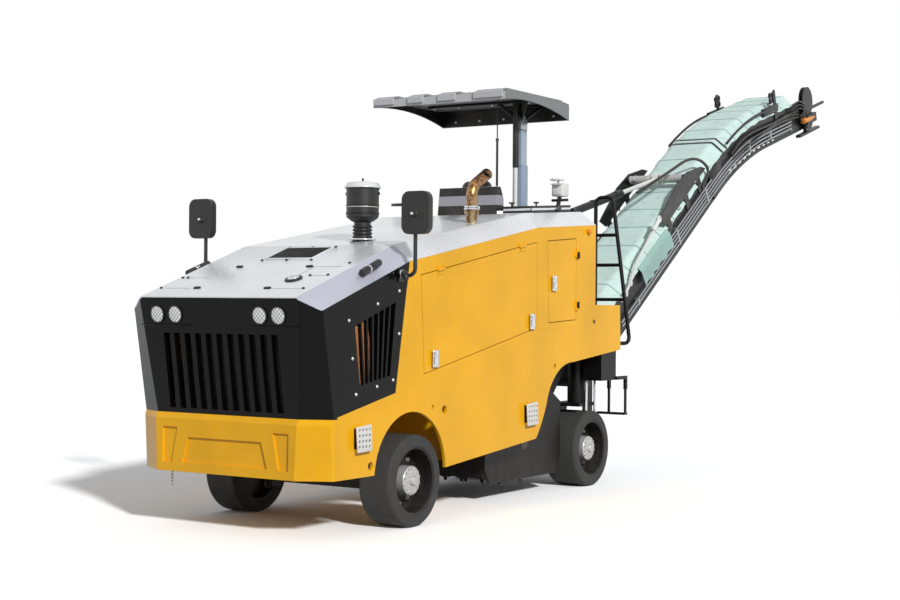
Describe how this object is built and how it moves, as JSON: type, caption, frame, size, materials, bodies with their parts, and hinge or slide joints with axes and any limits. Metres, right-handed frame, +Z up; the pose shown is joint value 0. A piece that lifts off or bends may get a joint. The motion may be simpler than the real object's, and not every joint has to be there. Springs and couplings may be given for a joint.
{
  "type": "cold planer milling machine",
  "caption": "Four-wheeled cold planer with a milling drum under its frame, an open operator's bay under a small canopy and a long slewing rear conveyor.",
  "frame": {"origin": "on the ground, below the middle of the overall length and width", "axes": "+X forward, +Y to the machine's left, +Z up"},
  "size_m": [10.9754, 2.204, 4.2605],
  "materials": {
    "tyre": "matte",
    "rim": "satin",
    "yellow": "gloss",
    "hood": "satin",
    "black": "gloss",
    "plastic": "matte",
    "belt": "matte",
    "tarp": "woven",
    "seat": "matte",
    "lamp": "clear",
    "pipe": "polished",
    "cooler": "satin",
    "mast": "satin",
    "drum": "worn"
  },
  "bodies": {
    "machine": {"access_step": "black", "air_cleaner": "plastic", "body_left": "yellow", "body_right": "yellow", "bumper": "yellow", "chute": "black", "console": "black", "conveyor_hitch": "black", "cooler": "cooler", "drum_housing": "black", "engine": "black", "exhaust": "pipe", "front_axle": "black", "front_panel": "black", "headlamps": "lamp", "hood_front": "hood", "hood_middle": "hood", "hood_rear": "hood", "ladder": "black", "lower_frame": "yellow", "mast": "mast", "mirror_left": "plastic", "mirror_right": "plastic", "operator_bay": "black", "rear_leg_left": "black", "rear_leg_right": "black", "rear_locker": "black", "seat": "seat", "seat_pedestal": "black", "side_grille_left": "black", "side_grille_right": "black", "steering_column": "plastic"},
    "knuckle_left": {"knuckle_left": "black"},
    "knuckle_right": {"knuckle_right": "black"},
    "wheel_front_left": {"tyre_front_left": "tyre", "rim_front_left": "rim"},
    "wheel_front_right": {"tyre_front_right": "tyre", "rim_front_right": "rim"},
    "wheel_rear_left": {"tyre_rear_left": "tyre", "rim_rear_left": "rim"},
    "wheel_rear_right": {"tyre_rear_right": "tyre", "rim_rear_right": "rim"},
    "drum": {"milling_drum": "drum"},
    "slew": {"slew_yoke": "black", "hoist_pin": "black"},
    "conveyor": {"conveyor_frame": "black", "conveyor_belt": "belt", "conveyor_cover": "tarp", "conveyor_head": "black", "hoist_bracket": "black", "conveyor_lines": "hood"},
    "hoist_barrel": {"hoist_barrel": "black"},
    "hoist_rod": {"hoist_rod": "hood"},
    "engine_door_left": {"engine_door_left": "yellow"},
    "engine_door_right": {"engine_door_right": "yellow"},
    "tank_door_left": {"tank_door_left": "yellow"},
    "tank_door_right": {"tank_door_right": "yellow"},
    "canopy": {"canopy": "plastic"},
    "steering_wheel": {"steering_wheel": "plastic"}
  },
  "joints": [
    {"name": "steer_left", "type": "hinge", "parent": "machine", "child": "knuckle_left", "pos_m": [4.3, 0.512, 0.33], "axis": [0, 0, 1], "range_deg": [-30, 30]},
    {"name": "steer_right", "type": "hinge", "parent": "machine", "child": "knuckle_right", "pos_m": [4.3, -0.512, 0.33], "axis": [0, 0, 1], "range_deg": [-30, 30]},
    {"name": "spin_front_left", "type": "hinge", "parent": "knuckle_left", "child": "wheel_front_left", "pos_m": [4.3, 0.71, 0.33], "axis": [0, 1, 0], "continuous": true},
    {"name": "spin_front_right", "type": "hinge", "parent": "knuckle_right", "child": "wheel_front_right", "pos_m": [4.3, -0.71, 0.33], "axis": [0, 1, 0], "continuous": true},
    {"name": "spin_rear_left", "type": "hinge", "parent": "machine", "child": "wheel_rear_left", "pos_m": [1.282, 0.5245, 0.33], "axis": [0, 1, 0], "continuous": true},
    {"name": "spin_rear_right", "type": "hinge", "parent": "machine", "child": "wheel_rear_right", "pos_m": [1.282, -0.5245, 0.33], "axis": [0, 1, 0], "continuous": true},
    {"name": "drum_spin", "type": "hinge", "parent": "machine", "child": "drum", "pos_m": [2.27, 0, 0.445], "axis": [0, 1, 0], "continuous": true},
    {"name": "conveyor_slew", "type": "hinge", "parent": "machine", "child": "slew", "pos_m": [0.8, 0, 0.9], "axis": [0, 0, 1], "range_deg": [-25, 25]},
    {"name": "conveyor_lift", "type": "hinge", "parent": "slew", "child": "conveyor", "pos_m": [0.8, 0, 0.85], "axis": [0, 1, 0], "range_deg": [-15, 3]},
    {"name": "hoist_swing", "type": "hinge", "parent": "slew", "child": "hoist_barrel", "pos_m": [0.62, 0, 2.42], "axis": [0, 1, 0], "range_deg": [-18.5, 4.5]},
    {"name": "hoist_stroke", "type": "slide", "parent": "hoist_barrel", "child": "hoist_rod", "axis": [-0.9726, 0, 0.2324], "range_m": [-0.09, 0.42]},
    {"name": "engine_door_left_hinge", "type": "hinge", "parent": "machine", "child": "engine_door_left", "pos_m": [3.40548, 0.849, 1.94555], "axis": [0.9849, 0, -0.1731], "range_deg": [0, 85]},
    {"name": "engine_door_right_hinge", "type": "hinge", "parent": "machine", "child": "engine_door_right", "pos_m": [3.40548, -0.849, 1.94555], "axis": [-0.9849, 0, 0.1731], "range_deg": [0, 85]},
    {"name": "tank_door_left_hinge", "type": "hinge", "parent": "machine", "child": "tank_door_left", "pos_m": [1.903, 0.849, 1.8], "axis": [0, 0, 1], "range_deg": [0, 100]},
    {"name": "tank_door_right_hinge", "type": "hinge", "parent": "machine", "child": "tank_door_right", "pos_m": [1.903, -0.849, 1.8], "axis": [0, 0, -1], "range_deg": [0, 100]},
    {"name": "canopy_height", "type": "slide", "parent": "machine", "child": "canopy", "axis": [0, 0, 1], "range_m": [-0.3, 0]},
    {"name": "steering_wheel_turn", "type": "hinge", "parent": "machine", "child": "steering_wheel", "pos_m": [2.355, -0.52, 2.34241], "axis": [0.0652, 0, 0.9979], "range_deg": [-360, 360]}
  ],
  "couplings": [
    {"joint": "steer_right", "follows": "steer_left", "ratio": 1},
    {"joint": "hoist_swing", "follows": "conveyor_lift", "ratio": 1.1618},
    {"joint": "hoist_stroke", "follows": "conveyor_lift", "m_per_rad": -1.5341}
  ]
}
